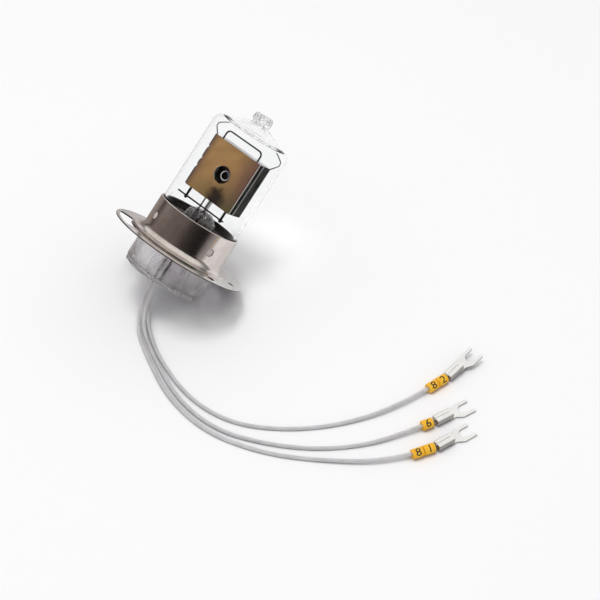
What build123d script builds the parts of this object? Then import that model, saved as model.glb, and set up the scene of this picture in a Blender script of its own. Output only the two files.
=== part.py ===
from build123d import *
import math
import os

# Flange-mounted deuterium lamp with three insulated leads, lying at rest.
# It leans on the rim of its flange and on the edge of its glass base.
# Millimetres, +Z up, floor at Z 0. The lamp's axis rises towards +X.
# The lamp is drawn along its own axis with Z 0 at the flange's top face.

# Glass bulb
bulb_radius = 15.0
glass_wall = 1.0
base_length = 12.5
base_edge_round = 0.8
foot_height = 2.0
shoulder_height = 45.6
crown_radius = 10.8
crown_height = 49.2
inner_neck = 51.3
crown_wall = 1.05
shoulder_thinning = 0.5
nub_radius = 4.1
nub_round = 1.9
nub_height = 56.3
neck_turn_deg = 50.0

# Re-entrant glass stem
stem_radius = 6.3
stem_wall = 1.4
stem_top = 16.4
stem_shoulder = 12.4
pinch_bottom = 10.0
flare_top = -4.0
foot_width = 2.3
foot_top_inset = 0.7
foot_bottom_inset = 0.6
foot_bulge_inset = 0.2
foot_air_overhang = 0.4
flare_lift = 0.4
flare_air_depth = 0.84
dome_side_radius = 4.54
dome_side_drop = 1.25

# Flange, sleeve and the cement between sleeve and bulb
flange_radius = 26.0
flange_thickness = 0.5
flange_bore_radius = 15.4
slot_inner_radius = 19.7
slot_outer_radius = 24.7
slot_start_deg = 121.0
slot_end_deg = 162.0
slot_corner = 0.6
screw_circle_radius = 21.6
screw_hole_radius = 1.6
screw_hole_degs = (-101.0, 19.0)
pin_circle_radius = 21.9
pin_hole_radius = 1.1
pin_hole_deg = -62.5
sleeve_radius = 15.85
sleeve_wall = 0.7
sleeve_height = 13.5
sleeve_bend = 1.0
sleeve_foot_radius = 19.4
sleeve_hole_radius = 1.45
sleeve_hole_height = 6.8
sleeve_hole_degs = (158.0, -106.0, -22.0, 74.0)
cement_bottom = 2.4
cement_top = 10.6

# Electrode box: U runs across the front plate, V away from it, W along the axis
box_turn_deg = -76.9
box_bottom = 20.9
box_top = 41.3
box_half_width = 10.15
shield_front = -4.2
shield_sheet = 0.3
light_hole_radius = 3.2
light_height = 30.9
frame_front = -2.7
frame_back = -1.0
frame_left_past_box = 1.15
frame_right_inset = 0.25
frame_window_radius = 4.5
tab_depth = 0.8
tab_gap = 0.9
tab_gap_heights = (36.1, 31.5, 28.2)
aperture_sheet = 0.3
aperture_hole_radius = 1.3
aperture_edge = 0.15
funnel_radius = 1.75
funnel_front = -1.6
funnel_back = 0.3
funnel_throat = -0.1
funnel_rim = 0.25
funnel_pinhole_radius = 0.5
housing_back = 5.5
housing_sheet = 0.4

# Filament, anode and the wires that hold the box
pocket_width = 2.2
pocket_from_edge = 2.55
pocket_height = 11.0
filament_radius = 0.55
filament_wire_radius = 0.2
coil_half_length = 4.0
anode_half_width = 3.4
anode_half_height = 4.2
anode_sheet = 0.5
anode_rod_radius = 0.35
anode_rod_u = -0.5
anode_rod_v = 1.0
anode_rod_short = 1.0
anode_sleeve_radius = 0.8
anode_sleeve_bottom = 17.2
anode_sleeve_gap = 2.2
lead_in_radius = 0.3
lead_in_us = (-1.6, 0.6)
lead_in_v = -1.9
cross_wire_radius = 0.3
cross_wire_height = 17.4
cross_wire_left_past_box = 1.95
cross_wire_right_inset = 0.95
leg_radius = 0.45
leg_left_inset = 1.65
leg_right_inset = 2.45
leg_bottom = 16.9
leg_weld_radius = 0.62
weld_overlap = 0.05
hoop_wire_radius = 0.3
hoop_left_inset = 1.85
hoop_right_inset = 2.65
hoop_top = 44.9
hoop_v = -1.8
hoop_bend = 1.6
spring_radius = 0.2
spring_bend = 0.9
spring_root_sink = 0.3
spring_inset_left = 0.5
spring_inset_right = 0.2
spring_glass_gap = 0.2
spring_foot_out = 2.3
spring_foot_height = 43.8
spring_knee_out = 2.1
spring_knee_height = 45.1
spring_tip_in = 1.2
spring_tip_height = 47.7

# Leads, markers and fork terminals
lead_radius = 0.625
lead_start = -9.5
lead_turn = -17.6
lead_floor = 0.65
conductor_radius = 0.4
conductor_in_barrel = 5.0
marker_radius = 1.7
marker_length = 3.9
marker_edge = 0.15
marker_gap = 0.25
bore_height = 1.7
barrel_length = 6.5
barrel_width = 3.3
barrel_bottom = 0.35
barrel_height = 2.7
barrel_round = 0.55
mouth_radius = 0.95
seam_width = 0.3
seam_depth = 0.75
fork_sheet = 0.6
neck_width = 3.2
neck_overlap = 1.2
neck_length = 1.0
fork_width = 6.0
fork_shoulder = 9.9
stud_gap = 3.7
throat_reach = 9.9
fork_reach = 15.1
tip_round = 0.55

# How far each cutting shape runs past what it cuts
cut_past = 1.0

# Places that follow the box's width and the light's height
frame_left = -box_half_width - frame_left_past_box
frame_right = box_half_width - frame_right_inset
pocket_right = box_half_width - pocket_from_edge
pocket_left = pocket_right - pocket_width
cross_wire_left = -box_half_width - cross_wire_left_past_box
cross_wire_right = box_half_width - cross_wire_right_inset
leg_us = (leg_left_inset - box_half_width, box_half_width - leg_right_inset)
hoop_left = hoop_left_inset - box_half_width
hoop_right = box_half_width - hoop_right_inset

# The flange centre's distance from the origin puts the lamp's box over it
flange_x = -12.7

# How the lamp leans: a line on the flange's lower edge and the rounded base edge
lean_across = flange_radius - bulb_radius + base_edge_round
lean_along = base_length - base_edge_round - flange_thickness
lean_span = math.hypot(lean_across, lean_along)
axis_rise = math.acos(base_edge_round / lean_span) - math.atan2(lean_along, lean_across)
rise_cos = math.cos(axis_rise)
rise_sin = math.sin(axis_rise)
flange_height = flange_radius * rise_cos + flange_thickness * rise_sin
POSE = Plane(
    origin=(flange_x, 0, flange_height),
    x_dir=(rise_sin, 0, -rise_cos),
    z_dir=(rise_cos, 0, rise_sin),
).location
BOX = Location((0, 0, 0), (0, 0, box_turn_deg))

os.makedirs("parts", exist_ok=True)


def save(shape, name):
    export_step(shape, "parts/" + name + ".step")


def save_lamp(shape, name):
    save(POSE * shape, name)


def save_boxed(shape, name):
    save(POSE * (BOX * shape), name)


def world(point):
    return (POSE * Location(point)).position


def box_point(u, v, w):
    return (BOX * Location((u, v, w))).position


def disc(radius, low, high):
    return Pos(0, 0, low) * Cylinder(radius, high - low, align=(Align.CENTER, Align.CENTER, Align.MIN))


def rod(radius, x, y, low, high):
    return Pos(x, y, 0) * disc(radius, low, high)


def block(x0, x1, y0, y1, z0, z1):
    size = Box(x1 - x0, y1 - y0, z1 - z0, align=(Align.MIN, Align.MIN, Align.MIN))
    return Pos(x0, y0, z0) * size


def through_v(radius, u, w, v0, v1):
    cut = Cylinder(radius, v1 - v0, align=(Align.CENTER, Align.CENTER, Align.MIN))
    return Pos(u, v0, w) * (Rot(-90, 0, 0) * cut)


def wire(points, radius, bend):
    path = FilletPolyline(*points, radius=bend) if len(points) > 2 else Line(*points)
    start = Plane(origin=path @ 0, z_dir=path % 0)
    return sweep(start * Circle(radius), path=path)


def spin(lines):
    return revolve(Rot(90, 0, 0) * make_face(lines), axis=Axis.Z)


def at_degrees(radius, degrees):
    angle = math.radians(degrees)
    return radius * math.cos(angle), radius * math.sin(angle)


# Bulb envelope: straight tube, rounded shoulder, shallow crown and sealed nub
tube_bottom = -base_length + foot_height
inner_radius = bulb_radius - glass_wall
inner_crown = crown_height - crown_wall
nub_centre_radius = nub_radius - nub_round
nub_centre_height = nub_height - nub_round
neck_turn = math.radians(neck_turn_deg)
neck_point = (
    nub_centre_radius + nub_round * math.cos(neck_turn),
    nub_centre_height - nub_round * math.sin(neck_turn),
)
inner_edge = crown_radius - shoulder_thinning
outer_shoulder = TangentArc(
    (bulb_radius, shoulder_height),
    (crown_radius, crown_height),
    tangent=(0, 1),
)
inner_shoulder = TangentArc(
    (inner_radius, shoulder_height),
    (inner_edge, inner_crown),
    tangent=(0, 1),
)
nub_arc = ThreePointArc(
    neck_point,
    (nub_radius, nub_centre_height),
    (nub_centre_radius, nub_height),
)
bulb_lines = [
    Line((inner_radius, tube_bottom), (bulb_radius, tube_bottom)),
    Line((bulb_radius, tube_bottom), (bulb_radius, shoulder_height)),
    outer_shoulder,
    Line((crown_radius, crown_height), neck_point),
    nub_arc,
    Line((nub_centre_radius, nub_height), (0, nub_height)),
    Line((0, nub_height), (0, inner_neck)),
    Line((0, inner_neck), (inner_edge, inner_crown)),
    inner_shoulder,
    Line((inner_radius, shoulder_height), (inner_radius, tube_bottom)),
]
save_lamp(spin(bulb_lines), "bulb_envelope")

# Glass stem: thick rounded foot, flare, tube and the solid pinch on top
foot_inner = bulb_radius - foot_width
bore_radius = stem_radius - stem_wall
air_flare_bottom = tube_bottom - flare_air_depth
stem_lines = [
    Line((foot_inner + foot_bottom_inset, -base_length), (bulb_radius - base_edge_round, -base_length)),
    RadiusArc(
        (bulb_radius - base_edge_round, -base_length),
        (bulb_radius, -base_length + base_edge_round),
        -base_edge_round,
    ),
    Line((bulb_radius, -base_length + base_edge_round), (bulb_radius, tube_bottom)),
    Line((bulb_radius, tube_bottom), (foot_inner + foot_top_inset, tube_bottom)),
    Bezier(
        (foot_inner + foot_top_inset, tube_bottom),
        (stem_radius, tube_bottom + flare_lift),
        (stem_radius, flare_top),
    ),
    Line((stem_radius, flare_top), (stem_radius, stem_shoulder)),
    ThreePointArc(
        (stem_radius, stem_shoulder),
        (dome_side_radius, stem_top - dome_side_drop),
        (0, stem_top),
    ),
    Line((0, stem_top), (0, pinch_bottom)),
    Line((0, pinch_bottom), (bore_radius, pinch_bottom)),
    Line((bore_radius, pinch_bottom), (bore_radius, flare_top - flare_lift)),
    Bezier(
        (bore_radius, flare_top - flare_lift),
        (bore_radius, air_flare_bottom),
        (foot_inner - foot_air_overhang, air_flare_bottom),
    ),
    Bezier(
        (foot_inner - foot_air_overhang, air_flare_bottom),
        (foot_inner + foot_bulge_inset, air_flare_bottom),
        (foot_inner + foot_bottom_inset, -base_length),
    ),
]
stem = spin(stem_lines)
wire_spots = []
for lead_in_u in lead_in_us:
    wire_spots.append((box_point(lead_in_u, lead_in_v, 0), lead_in_radius))
wire_spots.append((box_point(anode_rod_u, anode_rod_v, 0), anode_rod_radius))
for spot, spot_radius in wire_spots:
    stem -= rod(spot_radius, spot.X, spot.Y, pinch_bottom - cut_past, stem_top + cut_past)
save_lamp(stem, "glass_stem")

# Flange: flat disc with a curved slot, two screw holes and one pin hole
flange = disc(flange_radius, -flange_thickness, 0) - disc(flange_bore_radius, -cut_past, cut_past)
slot_start_inner = at_degrees(slot_inner_radius, slot_start_deg)
slot_start_outer = at_degrees(slot_outer_radius, slot_start_deg)
slot_end_inner = at_degrees(slot_inner_radius, slot_end_deg)
slot_end_outer = at_degrees(slot_outer_radius, slot_end_deg)
slot_middle_deg = (slot_start_deg + slot_end_deg) / 2
slot_outline = [
    Line(slot_start_inner, slot_start_outer),
    ThreePointArc(slot_start_outer, at_degrees(slot_outer_radius, slot_middle_deg), slot_end_outer),
    Line(slot_end_outer, slot_end_inner),
    ThreePointArc(slot_end_inner, at_degrees(slot_inner_radius, slot_middle_deg), slot_start_inner),
]
slot_face = make_face(slot_outline)
slot_face = fillet(slot_face.vertices(), slot_corner)
flange -= Pos(0, 0, -cut_past) * extrude(slot_face, 2 * cut_past)
for degrees in screw_hole_degs:
    hole_x, hole_y = at_degrees(screw_circle_radius, degrees)
    flange -= rod(screw_hole_radius, hole_x, hole_y, -cut_past, cut_past)
hole_x, hole_y = at_degrees(pin_circle_radius, pin_hole_deg)
flange -= rod(pin_hole_radius, hole_x, hole_y, -cut_past, cut_past)
save_lamp(flange, "mounting_flange")

# Sleeve: thin collar turned out into a flat foot, with four small holes
sleeve_inner = sleeve_radius - sleeve_wall
outer_bend = sleeve_bend + sleeve_wall
sleeve_lines = [
    Line((sleeve_inner, sleeve_height), (sleeve_radius, sleeve_height)),
    Line((sleeve_radius, sleeve_height), (sleeve_radius, outer_bend)),
    RadiusArc(
        (sleeve_radius, outer_bend),
        (sleeve_radius + sleeve_bend, sleeve_wall),
        sleeve_bend,
    ),
    Line((sleeve_radius + sleeve_bend, sleeve_wall), (sleeve_foot_radius, sleeve_wall)),
    Line((sleeve_foot_radius, sleeve_wall), (sleeve_foot_radius, 0)),
    Line((sleeve_foot_radius, 0), (sleeve_radius + sleeve_bend, 0)),
    RadiusArc(
        (sleeve_radius + sleeve_bend, 0),
        (sleeve_inner, outer_bend),
        -outer_bend,
    ),
    Line((sleeve_inner, outer_bend), (sleeve_inner, sleeve_height)),
]
sleeve = spin(sleeve_lines)
for degrees in sleeve_hole_degs:
    drill = Cylinder(sleeve_hole_radius, 4 * cut_past, align=(Align.CENTER, Align.CENTER, Align.CENTER))
    drill = Pos(sleeve_radius, 0, sleeve_hole_height) * (Rot(0, 90, 0) * drill)
    sleeve -= Rot(0, 0, degrees) * drill
save_lamp(sleeve, "mounting_sleeve")

# Cement: the thin ring that fills the gap between sleeve and bulb
cement = disc(sleeve_inner, cement_bottom, cement_top)
cement -= disc(bulb_radius, cement_bottom - cut_past, cement_top + cut_past)
save_lamp(cement, "cement_ring")

# Front shield: flat plate with the light hole and a notched lip on its left side
shield_back = shield_front + shield_sheet
shield = block(-box_half_width, box_half_width, shield_front, shield_back, box_bottom, box_top)
shield -= through_v(light_hole_radius, 0, light_height, shield_front - cut_past, shield_back + cut_past)
lip = block(
    -box_half_width,
    -box_half_width + shield_sheet,
    shield_back,
    frame_front,
    box_bottom,
    box_top,
)
for gap_height in tab_gap_heights:
    lip -= block(
        -box_half_width - cut_past,
        -box_half_width + cut_past,
        shield_back,
        frame_front + cut_past,
        gap_height - tab_gap / 2,
        gap_height + tab_gap / 2,
    )
save_boxed(shield + lip, "front_shield")

# Cathode frame: dark plate with a round window, a filament pocket and side notches
frame = block(frame_left, frame_right, frame_front, frame_back, box_bottom, box_top)
frame -= through_v(frame_window_radius, 0, light_height, frame_front - cut_past, frame_back + cut_past)
pocket_low = light_height - pocket_height / 2
pocket_high = light_height + pocket_height / 2
frame -= block(
    pocket_left,
    pocket_right,
    frame_front - cut_past,
    frame_back + cut_past,
    pocket_low,
    pocket_high,
)
for gap_height in tab_gap_heights:
    frame -= block(
        frame_left - cut_past,
        frame_left + tab_depth,
        frame_front - cut_past,
        frame_back + cut_past,
        gap_height - tab_gap / 2,
        gap_height + tab_gap / 2,
    )
save_boxed(frame, "cathode_frame")

# Aperture plate behind the frame, with the funnel that sets the light spot
aperture_back = frame_back + aperture_sheet
aperture = block(
    -box_half_width,
    box_half_width + aperture_edge,
    frame_back,
    aperture_back,
    box_bottom,
    box_top,
)
aperture -= through_v(aperture_hole_radius, 0, light_height, frame_back - cut_past, aperture_back + cut_past)
save_boxed(aperture, "aperture_plate")

funnel_outline = [
    Line((funnel_radius, funnel_front), (funnel_radius, frame_back)),
    Line((funnel_radius, frame_back), (aperture_hole_radius, frame_back)),
    Line((aperture_hole_radius, frame_back), (aperture_hole_radius, funnel_back)),
    Line((aperture_hole_radius, funnel_back), (funnel_pinhole_radius, funnel_back)),
    Line((funnel_pinhole_radius, funnel_back), (funnel_pinhole_radius, funnel_throat)),
    Line((funnel_pinhole_radius, funnel_throat), (funnel_radius - funnel_rim, funnel_front)),
    Line((funnel_radius - funnel_rim, funnel_front), (funnel_radius, funnel_front)),
]
funnel = Pos(0, 0, light_height) * (Rot(-90, 0, 0) * spin(funnel_outline))
save_boxed(funnel, "aperture_funnel")

# Rear housing: folded sheet box, open towards the aperture plate
housing = block(-box_half_width, box_half_width, aperture_back, housing_back, box_bottom, box_top)
housing -= block(
    -box_half_width + housing_sheet,
    box_half_width - housing_sheet,
    aperture_back - cut_past,
    housing_back - housing_sheet,
    box_bottom + housing_sheet,
    box_top - housing_sheet,
)
housing -= rod(
    anode_sleeve_radius,
    anode_rod_u,
    anode_rod_v,
    box_bottom - cut_past,
    box_bottom + cut_past,
)
save_boxed(housing, "rear_housing")

# Anode plate on its rod, and the ceramic tube that insulates the rod
anode_low = light_height - anode_half_height
anode_high = light_height + anode_half_height
anode_front = anode_rod_v + anode_rod_radius - weld_overlap
anode = block(
    -anode_half_width,
    anode_half_width,
    anode_front,
    anode_front + anode_sheet,
    anode_low,
    anode_high,
)
save_boxed(anode, "anode_plate")
anode_rod_top = anode_high - anode_rod_short
save_boxed(rod(anode_rod_radius, anode_rod_u, anode_rod_v, lead_start, anode_rod_top), "anode_rod")
anode_sleeve_top = anode_low - anode_sleeve_gap
tube = rod(anode_sleeve_radius, anode_rod_u, anode_rod_v, anode_sleeve_bottom, anode_sleeve_top)
tube -= rod(
    anode_rod_radius,
    anode_rod_u,
    anode_rod_v,
    anode_sleeve_bottom - cut_past,
    anode_sleeve_top + cut_past,
)
save_boxed(tube, "anode_ceramic_tube")

# Cathode filament: the coil's outer shape with a tail at each end, in its pocket
coil_u = (pocket_left + pocket_right) / 2
coil_v = (frame_front + frame_back) / 2
coil_low = light_height - coil_half_length
coil_high = light_height + coil_half_length
filament = rod(filament_radius, coil_u, coil_v, coil_low, coil_high)
filament += rod(filament_wire_radius, coil_u, coil_v, pocket_low, pocket_high)
save_boxed(filament, "cathode_filament")

# Lead-in wires stand in the glass pinch and carry the cathode frame
lead_in_names = ("lead_in_left", "lead_in_right")
for lead_in_u, name in zip(lead_in_us, lead_in_names):
    save_boxed(rod(lead_in_radius, lead_in_u, lead_in_v, lead_start, box_bottom), name)

# Cross wire welded to the front of the lead-in wires, and the legs it ties
cross_v = lead_in_v - lead_in_radius - cross_wire_radius + weld_overlap
cross_path = [
    (cross_wire_left, cross_v, cross_wire_height),
    (cross_wire_right, cross_v, cross_wire_height),
]
save_boxed(wire(cross_path, cross_wire_radius, 0), "cross_wire")
leg_v = cross_v + cross_wire_radius + leg_radius - weld_overlap
leg_names = ("support_leg_left", "support_leg_right")
for leg_u, name in zip(leg_us, leg_names):
    leg = rod(leg_radius, leg_u, leg_v, leg_bottom, box_bottom)
    leg += Pos(leg_u, leg_v, leg_bottom) * Sphere(leg_weld_radius)
    save_boxed(leg, name)

# Top hoop standing on the cathode frame
hoop_path = [
    (hoop_left, hoop_v, box_top),
    (hoop_left, hoop_v, hoop_top),
    (hoop_right, hoop_v, hoop_top),
    (hoop_right, hoop_v, box_top),
]
save_boxed(wire(hoop_path, hoop_wire_radius, hoop_bend), "top_hoop")

# Spring wires centre the box in the bulb: out to the tube, then in along the crown
spring_roots = (
    (box_point(frame_left + spring_inset_left, coil_v, 0), "spring_left"),
    (box_point(box_half_width - spring_inset_right, housing_back - spring_inset_right, 0), "spring_right"),
)
spring_profile = (
    (spring_foot_out, spring_foot_height),
    (spring_knee_out, spring_knee_height),
    (-spring_tip_in, spring_tip_height),
)
for root, name in spring_roots:
    root_radius = math.hypot(root.X, root.Y)
    root_degrees = math.degrees(math.atan2(root.Y, root.X))
    spring_path = [(root.X, root.Y, box_top - spring_root_sink)]
    for step_out, height in spring_profile:
        reach = min(root_radius + step_out, inner_radius - spring_radius - spring_glass_gap)
        step_x, step_y = at_degrees(reach, root_degrees)
        spring_path.append((step_x, step_y, height))
    save_lamp(wire(spring_path, spring_radius, spring_bend), name)

# Lead routes: one point below the base, then points on the floor, (X, Y)
# The last two points carry the markers at bore height
lead_drops = ((-31.0, -3.3, 2.1), (-32.9, -3.5, 2.7), (-34.3, -2.5, 3.0))
lead_1_floor = (
    (-35.2, -9.6),
    (-40.6, -22.8),
    (-44.3, -42.5),
    (-41.2, -60.5),
    (-29.8, -75.2),
    (-13.1, -86.6),
)
lead_2_floor = (
    (-37.2, -9.7),
    (-41.9, -21.7),
    (-47.5, -41.6),
    (-46.3, -60.5),
    (-38.0, -75.6),
    (-26.8, -88.7),
    (-12.8, -98.4),
)
lead_3_floor = (
    (-38.9, -8.6),
    (-43.5, -20.0),
    (-49.5, -39.3),
    (-49.3, -59.6),
    (-41.2, -77.8),
    (-30.5, -91.4),
)
lead_ends = (
    ((8.0, -93.9), (27.3, -94.7)),
    ((1.9, -103.8), (9.9, -106.0)),
    ((-12.4, -109.2), (2.8, -114.2)),
)
lead_starts = (wire_spots[2][0], wire_spots[1][0], wire_spots[0][0])
terminal_turns = (4.0, -8.0, -6.0)
terminal_lifts = (9.0, 0.0, 0.0)
terminal_gaps = (0.6, 0.9, 0.6)
marker_counts = (2, 1, 2)
arc_share = 0.45

floor_routes = (lead_1_floor, lead_2_floor, lead_3_floor)


def lead_arcs(points):
    radii = []
    for before, here, after in zip(points, points[1:], points[2:]):
        run_in = here - before
        run_out = after - here
        turn = math.radians(run_in.get_angle(run_out))
        shorter = min(run_in.length, run_out.length)
        radii.append(arc_share * shorter / math.tan(turn / 2))
    return radii


def lead_tube(points):
    radii = lead_arcs(points)
    path = FilletPolyline(*points, radius=radii)
    start = Plane(origin=path @ 0, z_dir=path % 0)
    tube_solid = sweep(start * Circle(lead_radius), path=path)
    return tube_solid, path, radii


def fork_terminal():
    barrel = block(
        0,
        barrel_length,
        -barrel_width / 2,
        barrel_width / 2,
        barrel_bottom,
        barrel_bottom + barrel_height,
    )
    barrel = fillet(barrel.edges().filter_by(Axis.X), barrel_round)
    barrel -= block(
        -cut_past,
        barrel_length + cut_past,
        -seam_width / 2,
        seam_width / 2,
        barrel_bottom + barrel_height - seam_depth,
        barrel_bottom + barrel_height + cut_past,
    )
    tongue_outline = Polyline(
        (barrel_length - neck_overlap, -neck_width / 2),
        (barrel_length + neck_length, -neck_width / 2),
        (fork_shoulder, -fork_width / 2),
        (fork_reach, -fork_width / 2),
        (fork_reach, fork_width / 2),
        (fork_shoulder, fork_width / 2),
        (barrel_length + neck_length, neck_width / 2),
        (barrel_length - neck_overlap, neck_width / 2),
        close=True,
    )
    tongue_face = make_face(tongue_outline)
    gap_radius = stud_gap / 2
    gap_face = Pos(throat_reach + gap_radius, 0) * Circle(gap_radius)
    gap_length = fork_reach - throat_reach
    gap_face += Pos(throat_reach + gap_radius + gap_length / 2, 0) * Rectangle(gap_length, stud_gap)
    tongue_face = tongue_face - gap_face
    tips = tongue_face.vertices().group_by(Axis.X)[-1]
    tongue_face = fillet(tips, tip_round)
    tongue = extrude(tongue_face, fork_sheet)
    terminal = barrel + tongue
    bore = Cylinder(
        conductor_radius,
        conductor_in_barrel,
        align=(Align.CENTER, Align.CENTER, Align.MIN),
    )
    terminal -= Pos(0, 0, bore_height) * (Rot(0, 90, 0) * bore)
    mouth = Cylinder(
        mouth_radius,
        barrel_length - conductor_in_barrel + cut_past,
        align=(Align.CENTER, Align.CENTER, Align.MIN),
    )
    terminal -= Pos(conductor_in_barrel, 0, bore_height) * (Rot(0, 90, 0) * mouth)
    return terminal


def marker():
    edge = marker_radius - marker_edge
    outline = Polyline(
        (lead_radius, 0),
        (edge, 0),
        (marker_radius, marker_edge),
        (marker_radius, marker_length - marker_edge),
        (edge, marker_length),
        (lead_radius, marker_length),
        close=True,
    )
    return spin(outline)


lead_rows = zip(lead_starts, lead_drops, floor_routes, lead_ends)
for number, (start_spot, drop, floor_route, ends) in enumerate(lead_rows, start=1):
    points = [
        world((start_spot.X, start_spot.Y, lead_start)),
        world((start_spot.X, start_spot.Y, lead_turn)),
        Vector(*drop),
    ]
    for route_x, route_y in floor_route:
        points.append(Vector(route_x, route_y, lead_floor))
    for end_x, end_y in ends:
        points.append(Vector(end_x, end_y, bore_height))
    tube_solid, path, radii = lead_tube(points)
    save(tube_solid, "lead_" + str(number))
    section = math.pi * lead_radius ** 2
    print("lead", number, "length", round(path.length, 2), "volume", round(tube_solid.volume, 2))
    print("  section times length", round(section * path.length, 2))
    print("  least radius", round(min(radii), 2), [round(r, 1) for r in radii])
    print("  runs", [round((b - a).length, 1) for a, b in zip(points, points[1:])])
    print("  points", [tuple(round(c, 2) for c in p) for p in points])

    last = points[-1]
    heading = (last - points[-2]).normalized()
    count = marker_counts[number - 1]
    for index in range(count):
        back = (marker_length + marker_gap) * (count - index)
        spot = last - heading * back
        placed = Plane(origin=spot, z_dir=heading).location * marker()
        save(placed, "marker_" + str(number) + "ab"[index])

    turn = terminal_turns[number - 1]
    lift = terminal_lifts[number - 1]
    reach = terminal_gaps[number - 1]
    bore_start = last + heading * reach
    fork_pose = Location(bore_start, (0, 0, turn)) * Location((0, 0, 0), (0, -lift, 0))
    fork_pose = fork_pose * Location((0, 0, -bore_height))
    save(fork_pose * fork_terminal(), "fork_terminal_" + str(number))

    inside = (fork_pose * Location((conductor_in_barrel, 0, bore_height))).position
    strand = wire([last, bore_start], conductor_radius, 0)
    strand += Pos(*bore_start) * Sphere(conductor_radius)
    strand += wire([bore_start, inside], conductor_radius, 0)
    save(strand, "conductor_" + str(number))

print("axis rise degrees", round(math.degrees(axis_rise), 3))
print("flange height", round(flange_height, 3))
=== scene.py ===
import math

import bmesh
import bpy
from mathutils import Matrix, Vector, noise


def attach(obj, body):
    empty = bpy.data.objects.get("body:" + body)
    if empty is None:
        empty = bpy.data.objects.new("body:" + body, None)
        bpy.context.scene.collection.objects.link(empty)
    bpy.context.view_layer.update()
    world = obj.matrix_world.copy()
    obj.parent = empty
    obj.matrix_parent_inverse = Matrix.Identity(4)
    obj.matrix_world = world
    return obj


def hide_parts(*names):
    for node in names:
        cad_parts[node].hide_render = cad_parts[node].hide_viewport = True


# A deuterium lamp lying on a pale floor, with its leads laid out beside it.
# Lengths are in mm, and MM turns them into the frame's metres.
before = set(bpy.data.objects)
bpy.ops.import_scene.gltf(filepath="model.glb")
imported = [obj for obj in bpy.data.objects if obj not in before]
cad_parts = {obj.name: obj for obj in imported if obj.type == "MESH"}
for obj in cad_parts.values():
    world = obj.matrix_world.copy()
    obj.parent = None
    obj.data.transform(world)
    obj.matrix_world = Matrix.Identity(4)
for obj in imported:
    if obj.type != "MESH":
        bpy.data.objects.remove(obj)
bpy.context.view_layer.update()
MM = 0.001

# How the lamp lies: its own Z runs along its axis from the flange's top face
axis_rise = math.radians(43.676)
rise_cos = math.cos(axis_rise)
rise_sin = math.sin(axis_rise)
flange_x = -12.7
flange_height = 19.15
LAMP = Matrix((
    (rise_sin * MM, 0, rise_cos * MM, flange_x * MM),
    (0, MM, 0, 0),
    (-rise_cos * MM, 0, rise_sin * MM, flange_height * MM),
    (0, 0, 0, 1),
))
LAMP_INVERSE = LAMP.inverted()
AXIS = Vector((rise_cos, 0, rise_sin))

# Electrode box: turned about the axis, with a round light hole in its front plate
box_turn = math.radians(-76.9)
box_across = (math.cos(box_turn), math.sin(box_turn))
box_half_width = 10.15
box_bottom = 20.9
box_height = 20.4
light_height = 30.9

# Flange: a sheet ring with a curved slot and three round holes
flange_radius = 26.0
flange_bore = 15.4
flange_sheet = 0.5
flange_edge = 0.12
slot_inner = 19.7
slot_outer = 24.7
slot_start = 121.0
slot_end = 162.0
slot_corner = 0.6
slot_steps = 24
flange_drill_span = (-1.5, 1.0)

# Each round hole's circle, degrees and radius
flange_holes = ((21.6, -101.0, 1.6), (21.6, 19.0, 1.6), (21.9, -62.5, 1.1))

# Sleeve: a collar turned out into a foot, with four holes filled by cement
sleeve_inner = 15.15
sleeve_outer = 15.85
sleeve_sheet = 0.7
sleeve_top = 13.5
sleeve_foot = 19.4
sleeve_bend = 1.7
sleeve_sweep = 2.4
sleeve_lip = 0.22
sleeve_hole_radius = 1.45
sleeve_hole_height = 6.8
sleeve_hole_degs = (158.0, -106.0, -22.0, 74.0)
sleeve_drill_span = (14.0, 18.0)
ring_segments = 256

# Bulb: a tube with a rounded shoulder, a shallow crown and a nub
bulb_radius = 15.0
bulb_wall = 1.0
bulb_bottom = -10.5
shoulder_height = 45.4
shoulder_round = 4.05
shoulder_degs = 62
crown_edge = (10.2, 49.35)
crown_top = (3.9, 52.2)
neck_points = [(3.45, 52.6), (3.4, 53.0)]
nub_centre = (2.2, 54.4)
nub_round = 1.9
nub_end = [(1.1, 56.3), (0.0, 56.25)]
inner_crown_edge = (9.9, 48.2)
inner_crown_top = (2.0, 51.2)
inner_middle = (0.0, 51.4)
nub_glass_from = 52.3
base_glass_below = 2.0

# Stem: a rounded foot, a flare, a tube and the pinch on top
foot_bottom = -12.5
foot_round = 0.8
foot_inner = 13.4
stem_radius = 6.3
stem_bore = 4.9
stem_flare_top = -4.0
stem_shoulder = 12.4
stem_round = 4.0
stem_top = 16.4
pinch_underside = [(0.0, 10.0), (2.6, 10.0), (4.2, 9.6), (4.9, 8.6)]
air_flare_top = -4.4
air_flare_bottom = -11.34
air_flare_radius = 12.3
foot_glass_below = -9.9
foot_glass_inside = 12.0

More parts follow.
